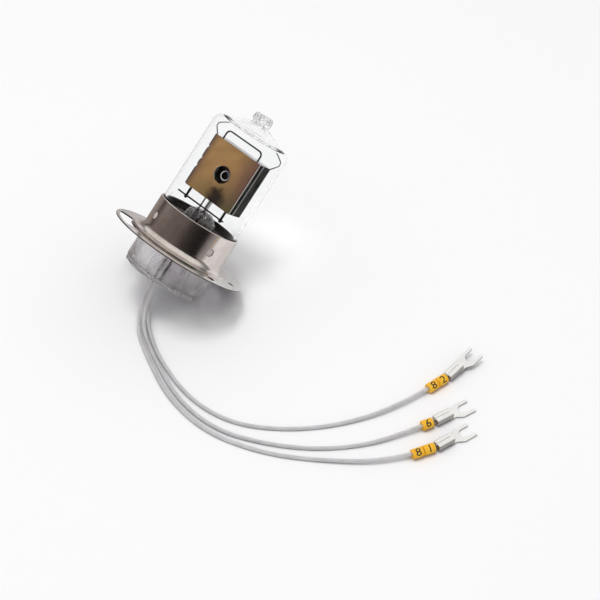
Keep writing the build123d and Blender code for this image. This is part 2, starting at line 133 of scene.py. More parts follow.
# Leads: each route's points, from the pinch to the insulation's end
lead_routes = {
    1: [
        (-18.98, 0.71, 11.97),
        (-24.84, 0.71, 6.37),
        (-31.0, -3.3, 2.1),
        (-35.2, -9.6, 0.65),
        (-40.6, -22.8, 0.65),
        (-44.3, -42.5, 0.65),
        (-41.2, -60.5, 0.65),
        (-29.8, -75.2, 0.65),
        (-13.1, -86.6, 0.65),
        (8.0, -93.9, 1.7),
        (27.3, -94.7, 1.7),
    ],
    2: [
        (-20.76, -1.02, 13.83),
        (-26.61, -1.02, 8.24),
        (-32.9, -3.5, 2.7),
        (-37.2, -9.7, 0.65),
        (-41.9, -21.7, 0.65),
        (-47.5, -41.6, 0.65),
        (-46.3, -60.5, 0.65),
        (-38.0, -75.6, 0.65),
        (-26.8, -88.7, 0.65),
        (-12.8, -98.4, 0.65),
        (1.9, -103.8, 1.7),
        (9.9, -106.0, 1.7),
    ],
    3: [
        (-21.1, 1.13, 14.19),
        (-26.96, 1.13, 8.6),
        (-34.3, -2.5, 3.0),
        (-38.9, -8.6, 0.65),
        (-43.5, -20.0, 0.65),
        (-49.5, -39.3, 0.65),
        (-49.3, -59.6, 0.65),
        (-41.2, -77.8, 0.65),
        (-30.5, -91.4, 0.65),
        (-12.4, -109.2, 1.7),
        (2.8, -114.2, 1.7),
    ],
}
lead_radius = 0.625

# Strands in the insulation, and those bared in front of the terminal
strand_count = 6
inner_strands = {"step": 0.6, "core": 0.34, "radius": 0.115, "lay": 7.0, "sides": 6}
bared_strands = {"step": 0.3, "core": 0.4, "radius": 0.135, "lay": 4.0, "sides": 8}
bared_in_barrel = 4.9

# Number rings and the direction of each fork terminal
marker_words = {1: ("8", "2"), 2: ("6",), 3: ("8", "1")}
marker_length = 3.9
marker_gap = 0.25
marker_sides = 48
marker_flatness = 0.97
marker_flat_from = 1.0
marker_end = [
    (0.64, 0.12),
    (0.8, 0.0),
    (1.45, 0.0),
    (1.62, 0.06),
    (1.7, 0.2),
    (1.7, 0.42),
    (1.6, 0.47),
    (1.6, 0.6),
    (1.7, 0.65),
]
number_size = 4.0
number_bold = 0.024
number_turn = 0.62
number_ring_radius = 1.68
number_proud = 0.02
number_sunk = 0.08
number_slice = 0.2
terminal_turns = {1: 4.0, 2: -8.0, 3: -6.0}
terminal_lifts = {1: 9.0, 2: 0.0, 3: 0.0}
terminal_gaps = {1: 0.6, 2: 0.9, 3: 0.6}


# Node helpers
class Nodes:
    def __init__(self, tree):
        self.tree = tree
        tree.nodes.clear()

    def add(self, kind, **values):
        node = self.tree.nodes.new(kind)
        for key, value in values.items():
            setattr(node, key, value)
        return node

    def fill(self, socket, value):
        # A link where the value is a socket, and otherwise a constant
        if isinstance(value, bpy.types.NodeSocket):
            self.tree.links.new(value, socket)
        elif socket.type == "RGBA" and len(value) == 3:
            socket.default_value = (*value, 1.0)
        else:
            socket.default_value = value

    def math(self, operation, a, b=None):
        node = self.add("ShaderNodeMath", operation=operation)
        self.fill(node.inputs[0], a)
        if b is not None:
            self.fill(node.inputs[1], b)
        return node.outputs[0]

    def square_sum(self, a, b):
        return self.math("ADD", self.math("MULTIPLY", a, a), self.math("MULTIPLY", b, b))

    def distance(self, a, b):
        return self.math("SQRT", self.square_sum(a, b))

    def dot(self, vector, direction):
        node = self.add("ShaderNodeVectorMath", operation="DOT_PRODUCT")
        self.fill(node.inputs[0], vector)
        node.inputs[1].default_value = direction
        return node.outputs["Value"]

    def position(self):
        return self.add("ShaderNodeNewGeometry").outputs["Position"]

    def facing(self, direction):
        # How far a face looks along a direction, from -1 to 1
        return self.dot(self.add("ShaderNodeNewGeometry").outputs["True Normal"], direction)

    def lamp_place(self):
        # The point in the lamp's own frame
        position = self.position()
        return [
            self.math("ADD", self.dot(position, LAMP_INVERSE[row][:3]), LAMP_INVERSE[row][3])
            for row in range(3)
        ]

    def across_box(self, x, y):
        # How far a point lies to the side of the axis, along the box's front plate
        cos_part = self.math("MULTIPLY", x, box_across[0])
        return self.math("ADD", cos_part, self.math("MULTIPLY", y, box_across[1]))

    def combine(self, *parts):
        node = self.add("ShaderNodeCombineXYZ")
        for socket, value in zip(node.inputs, parts):
            self.fill(socket, value)
        return node.outputs[0]

    def noise(self, vector, scale, detail=3.0, rough=0.55, distort=0.0):
        node = self.add("ShaderNodeTexNoise")
        self.fill(node.inputs["Vector"], vector)
        node.inputs["Scale"].default_value = scale
        node.inputs["Detail"].default_value = detail
        node.inputs["Roughness"].default_value = rough
        node.inputs["Distortion"].default_value = distort
        return node.outputs["Fac"]

    def ramp(self, share, stops):
        node = self.add("ShaderNodeValToRGB")
        elements = node.color_ramp.elements
        while len(elements) < len(stops):
            elements.new(0.5)
        for element, (place, colour) in zip(elements, stops):
            element.position = place
            element.color = (*colour, 1.0)
        self.fill(node.inputs[0], share)
        return node.outputs[0]

    def grey(self, share, *stops):
        return self.ramp(share, [(place, (value, value, value)) for place, value in stops])

    def fade(self, length, near, far):
        # White up to the near length and black from the far one
        longest = 20.0
        share = self.math("DIVIDE", length, longest)
        return self.grey(share, (near / longest, 1.0), (far / longest, 0.0))

    def mix(self, share, a, b, blend="MIX"):
        node = self.add("ShaderNodeMix", data_type="RGBA", blend_type=blend)
        self.fill(node.inputs[0], share)
        self.fill(node.inputs[6], a)
        self.fill(node.inputs[7], b)
        return node.outputs[2]

    def cloudy(self, cloud, low, high):
        # Two colours that pass into each other in soft clouds
        return self.mix(self.grey(cloud, (0.3, 0.0), (0.7, 1.0)), low, high)

    def bump(self, height, strength, distance):
        node = self.add("ShaderNodeBump")
        node.inputs["Strength"].default_value = strength
        node.inputs["Distance"].default_value = distance
        self.fill(node.inputs["Height"], height)
        return node.outputs[0]

    def mix_shader(self, share, a, b):
        node = self.add("ShaderNodeMixShader")
        for socket, value in zip(node.inputs, (share, a, b)):
            self.fill(socket, value)
        return node.outputs[0]

    def background(self, colour, strength):
        node = self.add("ShaderNodeBackground")
        self.fill(node.inputs[0], colour)
        node.inputs[1].default_value = strength
        return node.outputs[0]

    def principled(self, **inputs):
        node = self.add("ShaderNodeBsdfPrincipled")
        for key, value in inputs.items():
            self.fill(node.inputs[key.replace("_", " ")], value)
        return node.outputs[0]


class Shade(Nodes):
    # The nodes of one new material
    def __init__(self, name):
        self.mat = bpy.data.materials.new(name)
        self.mat.use_nodes = True
        super().__init__(self.mat.node_tree)

    def done(self, shader):
        self.fill(self.add("ShaderNodeOutputMaterial").inputs[0], shader)
        return self.mat


# Glass
def clear_glass(
    name,
    tint,
    ior,
    bump_scale,
    bump_strength,
    shade,
    rough=0.0,
    thin=0.0,
    painted_lines=0.0,
    painted_lines_scale=1.0,
):
    s = Shade(name)
    vector = s.combine(*s.lamp_place())
    colour = tint
    if painted_lines:
        # Painted dark lines of refraction: thin dark winding lines in the glass's colour
        flow = s.noise(vector, painted_lines_scale, 2.0, 0.6, 0.6)
        apart = s.math("ABSOLUTE", s.math("SUBTRACT", flow, 0.5))
        colour = s.mix(s.grey(apart, (0.0, painted_lines), (0.045, 0.0)), tint, (0.03, 0.03, 0.03))
    glass = s.principled(
        Base_Color=colour,
        Roughness=rough,
        IOR=ior,
        Transmission_Weight=1.0,
        Normal=s.bump(s.noise(vector, bump_scale, 2.0), bump_strength, 0.0002),
    )
    # The light that falls through stays even, dimmed by the shade
    clear = s.add("ShaderNodeBsdfTransparent")
    s.fill(clear.inputs[0], shade)
    path = s.add("ShaderNodeLightPath")
    passed = s.math("MAXIMUM", path.outputs["Is Shadow Ray"], thin)
    return s.done(s.mix_shader(passed, glass, clear.outputs[0]))


bulb_glass_mat = clear_glass(
    "bulb glass",
    tint=(0.985, 0.99, 0.99),
    ior=1.15,
    bump_scale=0.09,
    bump_strength=0.05,
    shade=(0.965, 0.965, 0.97),
)
base_glass_mat = clear_glass(
    "base glass",
    tint=(0.99, 0.985, 0.99),
    ior=1.22,
    bump_scale=0.16,
    bump_strength=0.2,
    shade=(0.8, 0.79, 0.8),
    thin=0.4,
)
# The nub, stem and foot glass get painted dark lines of refraction in their colour
nub_glass_mat = clear_glass(
    "nub glass",
    tint=(0.97, 0.97, 0.975),
    ior=1.45,
    bump_scale=1.1,
    bump_strength=1.0,
    shade=(0.9, 0.9, 0.9),
    painted_lines=1.0,
    painted_lines_scale=0.55,
)
stem_glass_mat = clear_glass(
    "stem glass",
    tint=(0.98, 0.965, 0.975),
    ior=1.3,
    bump_scale=1.1,
    bump_strength=0.8,
    shade=(0.55, 0.54, 0.55),
    rough=0.02,
    painted_lines=0.2,
    painted_lines_scale=0.45,
)
foot_glass_mat = clear_glass(
    "foot glass",
    tint=(0.97, 0.965, 0.97),
    ior=1.5,
    bump_scale=1.6,
    bump_strength=1.0,
    shade=(0.42, 0.41, 0.42),
    painted_lines=0.6,
    painted_lines_scale=1.3,
)


# Metals
def metal(
    name,
    colour,
    rough,
    streak,
    speck,
    second=None,
    tint=1.0,
    top=None,
    painted_shade_edges=None,
    inside=None,
    window=False,
):
    # Drawn or polished, with grain along the lamp's axis, clouds and small spots; where asked, painted
    # light on faces along the axis and painted shade on edges and within the collar
    grain_across = 2.5
    grain_along = 0.25
    s = Shade(name)
    x, y, z = s.lamp_place()
    vector = s.combine(x, y, z)
    grain = s.combine(
        s.math("MULTIPLY", x, grain_across),
        s.math("MULTIPLY", y, grain_across),
        s.math("MULTIPLY", z, grain_along),
    )
    lines = s.noise(grain, 1.0, 4.0, 0.6)
    clouds = s.noise(vector, 0.16, 3.0, 0.6)
    spots = s.noise(vector, 2.2, 2.0, 0.7)
    if second is None:
        second = tuple(part * 0.82 for part in colour)
    base = s.mix(s.grey(clouds, (0.38, 0.0), (0.68, 1.0)), colour, second)
    base = s.mix(1.0, base, s.grey(lines, (0.3, 1.0 - streak), (0.7, 1.0)), "MULTIPLY")
    base = s.mix(s.grey(spots, (0.66, 0.0), (0.74, speck)), base, (0.12, 0.1, 0.09))
    # Painted light: faces that look along the axis, toward the crown, are made lighter in the top colour
    if top:
        base = s.mix(s.grey(s.facing(AXIS), (0.7, 0.0), (0.9, 1.0)), base, top)
    # Painted shade: the edges and the walls of the slot and holes, every face not flat across the axis,
    # are made near black
    if painted_shade_edges:
        level = s.math("ABSOLUTE", s.facing(AXIS))
        base = s.mix(s.grey(level, (0.3, 1.0), (0.7, 0.0)), base, painted_shade_edges)
    if inside:
        # Painted shade: the side that looks to the axis, just within the collar's wall, is made dark
        base = s.mix(s.fade(s.distance(x, y), 15.3, 15.5), base, inside)
    if window:
        # Sooty round the light's way through
        reach = s.distance(s.across_box(x, y), s.math("SUBTRACT", z, light_height))
        base = s.mix(s.fade(reach, 3.6, 4.4), base, (0.02, 0.015, 0.012))
    return s.done(s.principled(
        Base_Color=base,
        Metallic=1.0,
        Roughness=s.math("ADD", s.math("MULTIPLY", clouds, rough * 0.8), rough * 0.6),
        Specular_Tint=(tint, tint, tint),
        Normal=s.bump(lines, 0.02, 0.0001),
    ))


# The collar's inner wall gets painted shade
nickel_mat = metal(
    "polished nickel",
    colour=(0.76, 0.71, 0.67),
    rough=0.16,
    streak=0.1,
    speck=0.35,
    second=(0.62, 0.55, 0.52),
    inside=(0.12, 0.11, 0.1),
)
# The flange's edges and the walls of its slot and holes get painted shade
flange_mat = metal(
    "bright nickel",
    colour=(0.86, 0.85, 0.83),
    rough=0.15,
    streak=0.05,
    speck=0.2,
    second=(0.75, 0.73, 0.71),
    painted_shade_edges=(0.07, 0.06, 0.055),
)
# Faces of the electrodes that look along the axis get painted light
electrode_mat = metal(
    "dark electrode metal",
    colour=(0.075, 0.075, 0.071),
    rough=0.35,
    streak=0.6,
    speck=0.3,
    second=(0.045, 0.045, 0.043),
    tint=0.36,
    top=(0.95, 0.95, 0.93),
    window=True,
)
sheet_mat = metal(
    "electrode sheet", colour=(0.62, 0.62, 0.61), rough=0.3, streak=0.25, speck=0.15, window=True
)
wire_mat = metal(
    "dark wire", colour=(0.015, 0.013, 0.012), rough=0.35, streak=0.25, speck=0.1, tint=0.15
)
post_mat = metal(
    "bright wire", colour=(0.1, 0.098, 0.095), rough=0.25, streak=0.25, speck=0.1, tint=0.4
)
coil_mat = metal("coated coil", colour=(0.3, 0.3, 0.31), rough=0.5, streak=0.3, speck=0.2)
tin_mat = metal(
    "bright tin",
    colour=(0.95, 0.95, 0.94),
    rough=0.12,
    streak=0.06,
    speck=0.1,
    second=(0.88, 0.88, 0.87),
)
strand_mat = metal("tinned strands", colour=(0.5, 0.48, 0.46), rough=0.3, streak=0.3, speck=0.1)


def shield_material():
    # Heat-tinted plate: straw and brown with purple and green at the edges, with a painted shade of the
    # posts and painted highlights on the side faces
    straw = (0.29, 0.165, 0.066)
    brown = (0.23, 0.128, 0.05)
    rose = (0.1, 0.05, 0.04)
    green = (0.075, 0.058, 0.026)
    post_shade = (0.012, 0.006, 0.005)
    edge_highlight = (1.0, 0.99, 0.96)
    post_shade_place = (2.3, 22.8)
    post_shade_size = (3.3, 3.8)
    s = Shade("heat tinted plate")
    x, y, z = s.lamp_place()
    vector = s.combine(x, y, z)
    u = s.across_box(x, y)
    drift = s.noise(vector, 0.18, 3.0, 0.55, 0.4)
    fine = s.noise(s.combine(s.math("MULTIPLY", u, 0.4), s.math("MULTIPLY", z, 3.0), 0.0), 1.0)
    base = s.mix(s.grey(drift, (0.35, 0.0), (0.65, 1.0)), straw, brown)
    along = s.math("DIVIDE", s.math("ADD", u, box_half_width), 2 * box_half_width)
    side = s.grey(along, (0.0, 0.9), (0.05, 0.4), (0.12, 0.0), (0.62, 0.0), (0.9, 0.75), (1.0, 1.0))
    base = s.mix(side, base, rose)
    up = s.math("DIVIDE", s.math("SUBTRACT", z, box_bottom), box_height)
    low = s.grey(up, (0.0, 0.95), (0.15, 0.7), (0.42, 0.12), (0.6, 0.0))
    low = s.math("MULTIPLY", low, s.grey(along, (0.1, 0.25), (0.65, 1.0)))
    base = s.mix(low, base, green)
    # Painted shade of the posts: a dark patch low on the plate, beside them
    beside = s.math("DIVIDE", s.math("SUBTRACT", u, post_shade_place[0]), post_shade_size[0])
    above = s.math("DIVIDE", s.math("SUBTRACT", z, post_shade_place[1]), post_shade_size[1])
    ragged = s.math("SUBTRACT", s.noise(vector, 0.5, 3.0, 0.6), 0.5)
    far = s.math("ADD", s.square_sum(beside, above), s.math("MULTIPLY", ragged, 2.6))
    base = s.mix(s.grey(s.math("DIVIDE", far, 2.0), (0.1, 0.97), (0.85, 0.0)), base, post_shade)
    # Painted highlight: the faces that look along the plate's width are made near white
    across = LAMP.to_3x3().normalized() @ Vector((*box_across, 0.0))
    base = s.mix(s.grey(s.facing(across), (0.6, 0.0), (0.8, 1.0)), base, edge_highlight)
    return s.done(s.principled(
        Base_Color=base,
        Metallic=0.6,
        Roughness=s.math("ADD", s.math("MULTIPLY", drift, 0.2), 0.28),
        Specular_IOR_Level=0.3,
        Specular_Tint=(0.6, 0.55, 0.5),
        Normal=s.bump(fine, 0.05, 0.0001),
    ))


def funnel_material():
    # Bright rim; painted shade darkens the throat, with a painted glint at the pinhole, and one side is
    # painted lighter as if lit
    s = Shade("bright molybdenum")
    x, y, z = s.lamp_place()
    across = s.across_box(x, y)
    up = s.math("SUBTRACT", z, light_height)
    fine = s.noise(s.combine(x, y, z), 3.0)
    uneven = s.math("MULTIPLY", s.math("SUBTRACT", fine, 0.5), 0.05)
    reach = s.math("DIVIDE", s.math("ADD", s.distance(across, up), uneven), 2.0)
    shaded_throat = ((0.0, 0.1), (0.22, 0.03), (0.3, 0.16), (0.36, 0.015))
    rim = ((0.7, 0.02), (0.76, 0.8), (0.84, 0.85), (0.87, 0.04))
    tone = s.grey(reach, *shaded_throat, *rim)
    lean = s.math("ADD", s.math("MULTIPLY", across, -0.5), s.math("MULTIPLY", up, -0.5))
    lean = s.math("ADD", s.math("DIVIDE", lean, 2.0), 0.5)
    lit_side = s.grey(lean, (0.1, 0.4), (0.5, 0.75), (0.8, 1.0))
    base = s.mix(1.0, (0.98, 0.96, 1.0), tone, "MULTIPLY")
    return s.done(s.principled(
        Base_Color=s.mix(1.0, base, lit_side, "MULTIPLY"),
        Metallic=1.0,
        Roughness=s.math("ADD", s.math("MULTIPLY", fine, 0.2), 0.15),
    ))


shield_mat = shield_material()
funnel_mat = funnel_material()


# Ceramic, cement and ink
def plain(name, colour, rough, variation, cloud_scale, bump):
    s = Shade(name)
    vector = s.combine(*s.lamp_place())
    low = tuple(part * (1 - variation) for part in colour)
    return s.done(s.principled(
        Base_Color=s.cloudy(s.noise(vector, cloud_scale, 4.0), low, colour),
        Roughness=rough,
        Normal=s.bump(s.noise(vector, 6.0), bump, 0.00005),
    ))


cement_mat = plain("cement", (0.16, 0.14, 0.13), 0.9, 0.25, 1.2, 0.5)
plug_mat = plain("pale cement", (0.62, 0.55, 0.53), 0.9, 0.2, 1.6, 0.5)
alumina_mat = plain("alumina", (0.8, 0.79, 0.77), 0.6, 0.08, 1.0, 0.2)
ink_mat = plain("black ink", (0.02, 0.018, 0.016), 0.6, 0.3, 2.0, 0.1)


# Plastics
def marker_material():
    s = Shade("yellow marker")
    position = s.position()
    return s.done(s.principled(
        Base_Color=s.cloudy(s.noise(position, 400.0), (0.88, 0.44, 0.012), (1.0, 0.58, 0.03)),
        Roughness=0.45,
        Normal=s.bump(s.noise(position, 4000.0, 2.0), 0.2, 0.00005),
        Subsurface_Weight=0.15,
        Subsurface_Scale=0.0006,
    ))


def insulation_material():
    # Grey-white translucent fluoropolymer over the strands
    s = Shade("lead insulation")
    position = s.position()
    return s.done(s.principled(
        Base_Color=s.cloudy(s.noise(position, 260.0), (0.74, 0.73, 0.745), (0.86, 0.85, 0.865)),
        Roughness=0.28,
        IOR=1.35,
        Transmission_Weight=0.35,
        Normal=s.bump(s.noise(position, 3000.0, 2.0), 0.12, 0.00004),
    ))


marker_mat = marker_material()
insulation_mat = insulation_material()


# Outlines: lists of points in a plane
def polar(radius, degrees):
    angle = math.radians(degrees)
    return (radius * math.cos(angle), radius * math.sin(angle))


def arc(centre, radius, start, end, steps):
    points = []
    for index in range(steps + 1):
        x, y = polar(radius, start + (end - start) * index / steps)
        points.append((centre[0] + x, centre[1] + y))
    return points


def bezier(start, corner, end, steps):
    # A bend from start to end that a corner draws out, without its first point
    points = []
    for index in range(1, steps + 1):
        t = index / steps
        a, b, c = (1 - t) ** 2, 2 * t * (1 - t), t * t
        points.append(tuple(a * p + b * q + c * r for p, q, r in zip(start, corner, end)))
    return points


def stretch(start, end, steps):
    # A straight run in even steps, without its first point
    points = []
    for index in range(1, steps + 1):
        t = index / steps
        points.append(tuple(p + (q - p) * t for p, q in zip(start, end)))
    return points


# Meshes and objects
def bridge(work, rings, closed=False):
    # Faces between neighbouring rings of points, where a single point is a pole
    pairs = list(zip(rings, rings[1:]))
    if closed:
        pairs.append((rings[-1], rings[0]))
    for ring, following in pairs:
        count = max(len(ring), len(following))
        if count == 1:
            continue
        for index in range(count):
            after = (index + 1) % count
            corners = [
                ring[index % len(ring)],
                ring[after % len(ring)],
                following[after % len(following)],
                following[index % len(following)],
            ]
            work.faces.new(list(dict.fromkeys(corners)))


def cap(work, rings):
    work.faces.new(list(reversed(rings[0])))
    work.faces.new(rings[-1])


def finished(work, name, matrix, soft=True):
    # The mesh of closed forms, with its faces turned outwards
    bmesh.ops.recalc_face_normals(work, faces=work.faces)
    work.transform(matrix)
    mesh = bpy.data.meshes.new(name)
    work.to_mesh(mesh)
    work.free()
    mesh.polygons.foreach_set("use_smooth", [soft] * len(mesh.polygons))
    return mesh


def revolved(name, profile, segments, matrix=LAMP, shift=None):
    # A closed outline of (radius, height) turned round the axis
    work = bmesh.new()
    rings = []
    for radius, height in profile:
        if radius < 1e-6:
            rings.append([work.verts.new((0, 0, height))])
            continue
        spots = [polar(radius, 360 * index / segments) for index in range(segments)]
        rings.append([work.verts.new((x, y, height)) for x, y in spots])
    bridge(work, rings, closed=True)
    if shift:
        for vert in work.verts:
            vert.co = shift(vert.co.copy())
    return finished(work, name, matrix)


def new_object(name, mesh, material, replaced=()):
    obj = bpy.data.objects.new(name, mesh)
    bpy.context.scene.collection.objects.link(obj)
    obj.data.materials.append(material)
    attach(obj, "root")
    if replaced:
        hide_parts(*replaced)
    return obj


def dress(name, material):
    # A new material on a piece that keeps its solid's shape
    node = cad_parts[name]
    node.data.materials.clear()
    node.data.materials.append(material)
    return node


# Leads
def lead_curve(name, route):
    curve = bpy.data.curves.new(name, "CURVE")
    curve.dimensions = "3D"
    curve.resolution_u = 24
    spline = curve.splines.new("NURBS")
    spline.points.add(len(route) - 1)
    for point, place in zip(spline.points, route):
        point.co = (place[0] * MM, place[1] * MM, place[2] * MM, 1.0)
    spline.order_u = 3
    spline.use_endpoint_u = True
    return curve


def mesh_of(data):
    # The plain mesh of a curve or of written figures
    probe = bpy.data.objects.new("probe", data)
    mesh = bpy.data.meshes.new_from_object(probe)
    bpy.data.objects.remove(probe)
    return mesh


def followed(curve):
    # The points along the route's smooth line
    mesh = mesh_of(curve)
    line = [vert.co.copy() for vert in mesh.vertices]
    bpy.data.meshes.remove(mesh)
    return line


def spaced(line, step):
    # Points at even steps along a line
    out = [line[0].copy()]
    carried = 0.0
    for a, b in zip(line, line[1:]):
        run = (b - a).length
        while carried + run >= step:
            a = a.lerp(b, (step - carried) / run)
            run = (b - a).length
            carried = 0.0
            out.append(a.copy())
        carried += run
    out.append(line[-1].copy())
    return out


def frames_along(line):
    # Frames that turn as little as possible from point to point
    tangents = []
    for index in range(len(line)):
        before = line[max(0, index - 1)]
        after = line[min(len(line) - 1, index + 1)]
        tangents.append((after - before).normalized())
    side = tangents[0].orthogonal().normalized()
    out = []
    for tangent in tangents:
        side = (side - tangent * side.dot(tangent)).normalized()
        out.append((side, tangent.cross(side)))
    return out


def circle_point(centre, side, up, radius, angle):
    return centre + (side * math.cos(angle) + up * math.sin(angle)) * radius


def strands(name, route, step, core, radius, lay, sides):
    # Strands laid round a middle one along a line
    line = spaced(route, step * MM)
    frames = frames_along(line)
    lengths = [0.0]
    for a, b in zip(line, line[1:]):
        lengths.append(lengths[-1] + (b - a).length)
    work = bmesh.new()
    for strand in range(strand_count + 1):
        offset = 0.0 if strand == strand_count else (core - radius) * MM
        rings = []
        for point, (side, up), along in zip(line, frames, lengths):
            angle = 2 * math.pi * (strand / strand_count + along / (lay * MM))
            centre = circle_point(point, side, up, offset, angle)
            turns = [2 * math.pi * index / sides for index in range(sides)]
            spots = [circle_point(centre, side, up, radius * MM, turn) for turn in turns]
            rings.append([work.verts.new(spot) for spot in spots])
        bridge(work, rings)
        cap(work, rings)
    return finished(work, name, Matrix())


def flattened(co):
    # A ring's soft wall sits a little flat on the lead
    if math.hypot(co.x, co.y) > marker_flat_from:
        co.x *= marker_flatness
    return co


def number_mesh(name, word, matrix):
    # A printed number wrapped on the ring, a little proud of it
    font = bpy.data.curves.new(name + "_font", "FONT")
    font.body = word
    font.size = number_size
    font.align_x = "CENTER"
    font.align_y = "CENTER"
    font.resolution_u = 4
    font.offset = number_bold
    flat = mesh_of(font)
    work = bmesh.new()
    work.from_mesh(flat)
    bpy.data.meshes.remove(flat)
    slices = round(number_size / 2 / number_slice)
    for step in range(-slices, slices + 1):
        whole = list(work.verts) + list(work.edges) + list(work.faces)
        level = (0, step * number_slice, 0)
        bmesh.ops.bisect_plane(work, geom=whole, plane_co=level, plane_no=(0, 1, 0))
    bmesh.ops.triangulate(work, faces=work.faces)
    extruded = bmesh.ops.extrude_face_region(work, geom=list(work.faces))
    top = {item for item in extruded["geom"] if isinstance(item, bmesh.types.BMVert)}
    for vert in work.verts:
        reach = number_ring_radius + (number_proud if vert in top else -number_sunk)
        angle = number_turn - vert.co.y / number_ring_radius
        along = marker_length / 2 + vert.co.x
        vert.co = (reach * math.cos(angle), reach * math.sin(angle), along)
    return finished(work, name, matrix, soft=False)


def along_matrix(origin, direction):
    # Z along the direction, X as near upright as it can be
    upright = Vector((0, 0, 1))
    z = direction.normalized()
    x = (upright - z * upright.dot(z)).normalized()
    y = z.cross(x)
    return Matrix((
        (x.x * MM, y.x * MM, z.x * MM, origin.x * MM),
        (x.y * MM, y.y * MM, z.y * MM, origin.y * MM),
        (x.z * MM, y.z * MM, z.z * MM, origin.z * MM),
        (0, 0, 0, 1),
    ))


def number_rings(label, words, end, heading):
    outline = marker_end + [(radius, marker_length - along) for radius, along in reversed(marker_end)]
    pieces = []
    for index, word in enumerate(words):
        back = (marker_length + marker_gap) * (len(words) - index)
        matrix = along_matrix(end - heading * back, heading)
        marker = "marker_" + label + "ab"[index]
        ring = revolved(marker + "_ring", outline, marker_sides, matrix, flattened)
        pieces.append(new_object(ring.name, ring, marker_mat, (marker,)))
        figure = number_mesh(marker + "_number", word, matrix)
        pieces.append(new_object(figure.name, figure, ink_mat))
    return pieces


def bared_conductor(number, end, heading):
    # Straight out of the insulation, then into the terminal's barrel
    label = str(number)
    turn = math.radians(terminal_turns[number])
    lift = math.radians(terminal_lifts[number])
    flat = math.cos(lift)
    tongue = Vector((math.cos(turn) * flat, math.sin(turn) * flat, math.sin(lift)))
    start = end + heading * terminal_gaps[number]
    line = [end * MM, start * MM, (start + tongue * bared_in_barrel) * MM]
    twist = strands("conductor_" + label + "_strands", line, **bared_strands)
    return new_object(twist.name, twist, strand_mat, ("conductor_" + label,))


for number, route in lead_routes.items():
    label = str(number)
    curve = lead_curve("lead_" + label + "_insulation", route)
    core = strands("lead_" + label + "_strands", followed(curve), **inner_strands)
    curve.bevel_depth = lead_radius * MM
    curve.bevel_resolution = 5
    curve.use_fill_caps = True
    tube = new_object(curve.name, curve, insulation_mat, ("lead_" + label,))
    end = Vector(route[-1])
    heading = (end - Vector(route[-2])).normalized()
    pieces = [new_object(core.name, core, strand_mat)]
    pieces += number_rings(label, marker_words[number], end, heading)
    pieces.append(bared_conductor(number, end, heading))
    pieces.append(dress("fork_terminal_" + label, tin_mat))


# Blown glass: smooth turned forms with the marks of the fire
def waves(co, across, along, shift_x=0.0, shift_y=0.0):
    # Smooth noise from -1 to 1, with how fast it varies across and along the axis
    return noise.noise(Vector((co.x * across + shift_x, co.y * across + shift_y, co.z * along)))


def nub_shift(co):
    start = 51.6
    if co.z < start:
        return co
    strength = min(1.0, (co.z - start) / 1.5)
    lump = waves(co, 0.55, 0.8)
    ripple = waves(co, 1.4, 1.6, shift_y=5.0)
    pull = 1.0 - strength * (0.03 + 0.15 * max(0.0, lump + 0.4) + 0.13 * max(0.0, ripple + 0.3))
    drop = strength * (0.45 * (lump + 0.6) + 0.3 * max(0.0, ripple))
    return Vector((co.x * pull, co.y * pull, co.z - drop))


def stem_shift(co):
    pinch_start = 9.5
    foot_end = -9.8
    if co.z > pinch_start:
        strength = min(1.0, (co.z - pinch_start) / 2.0)
        lump = waves(co, 0.5, 0.5)
        ripple = waves(co, 1.3, 1.3, shift_x=7.0)
        pull = 1.0 - strength * (0.1 + 0.14 * lump + 0.1 * ripple)
        drop = strength * (0.6 * (0.5 + lump) + 0.35 * ripple)
        return Vector((co.x * pull, co.y * pull, co.z - drop))
    if co.z < foot_end and math.hypot(co.x, co.y) > 10.0:
        lump = waves(co, 0.35, 0.9)
        ripple = waves(co, 1.1, 1.1, shift_y=3.0)
        pull = 1.0 - 0.012 * (1.0 + lump) - 0.006 * (1.0 + ripple)
        rise = 0.1 * (1.0 + lump) + 0.05 * (1.0 + ripple)
        return Vector((co.x * pull, co.y * pull, co.z + rise))
    return co


def part_faces(obj, material, low=-math.inf, high=math.inf, inside=0.0):
    # Another glass on the faces whose middle is in a part of the height, outside a radius
    obj.data.materials.append(material)
    for face in obj.data.polygons:
        middle = LAMP_INVERSE @ face.center
        if low < middle.z < high and math.hypot(middle.x, middle.y) > inside:
            face.material_index = len(obj.data.materials) - 1


inner_radius = bulb_radius - bulb_wall
shoulder_centre = (bulb_radius - shoulder_round, shoulder_height)
outer_shoulder = arc(shoulder_centre, shoulder_round, 0, shoulder_degs, 14)
inner_shoulder = arc(shoulder_centre, shoulder_round - bulb_wall, shoulder_degs, 0, 14)
bulb_outline = [(bulb_radius, bulb_bottom)]
bulb_outline += stretch((bulb_radius, bulb_bottom), (bulb_radius, shoulder_height), 8)
bulb_outline += outer_shoulder[1:]
bulb_outline += stretch(outer_shoulder[-1], crown_edge, 4)
bulb_outline += stretch(crown_edge, crown_top, 8)
bulb_outline += neck_points
bulb_outline += arc(nub_centre, nub_round, -40, 90, 12)
bulb_outline += nub_end
bulb_outline += [inner_middle, inner_crown_top]
bulb_outline += stretch(inner_crown_top, inner_crown_edge, 6)
bulb_outline += stretch(inner_crown_edge, inner_shoulder[0], 3)
bulb_outline += inner_shoulder[1:]
bulb_outline += stretch((inner_radius, shoulder_height), (inner_radius, bulb_bottom), 8)
bulb_mesh = revolved("bulb_glass", bulb_outline, 192, shift=nub_shift)
bulb = new_object("bulb_glass", bulb_mesh, bulb_glass_mat, ("bulb_envelope",))
part_faces(bulb, nub_glass_mat, low=nub_glass_from)
part_faces(bulb, base_glass_mat, high=base_glass_below)

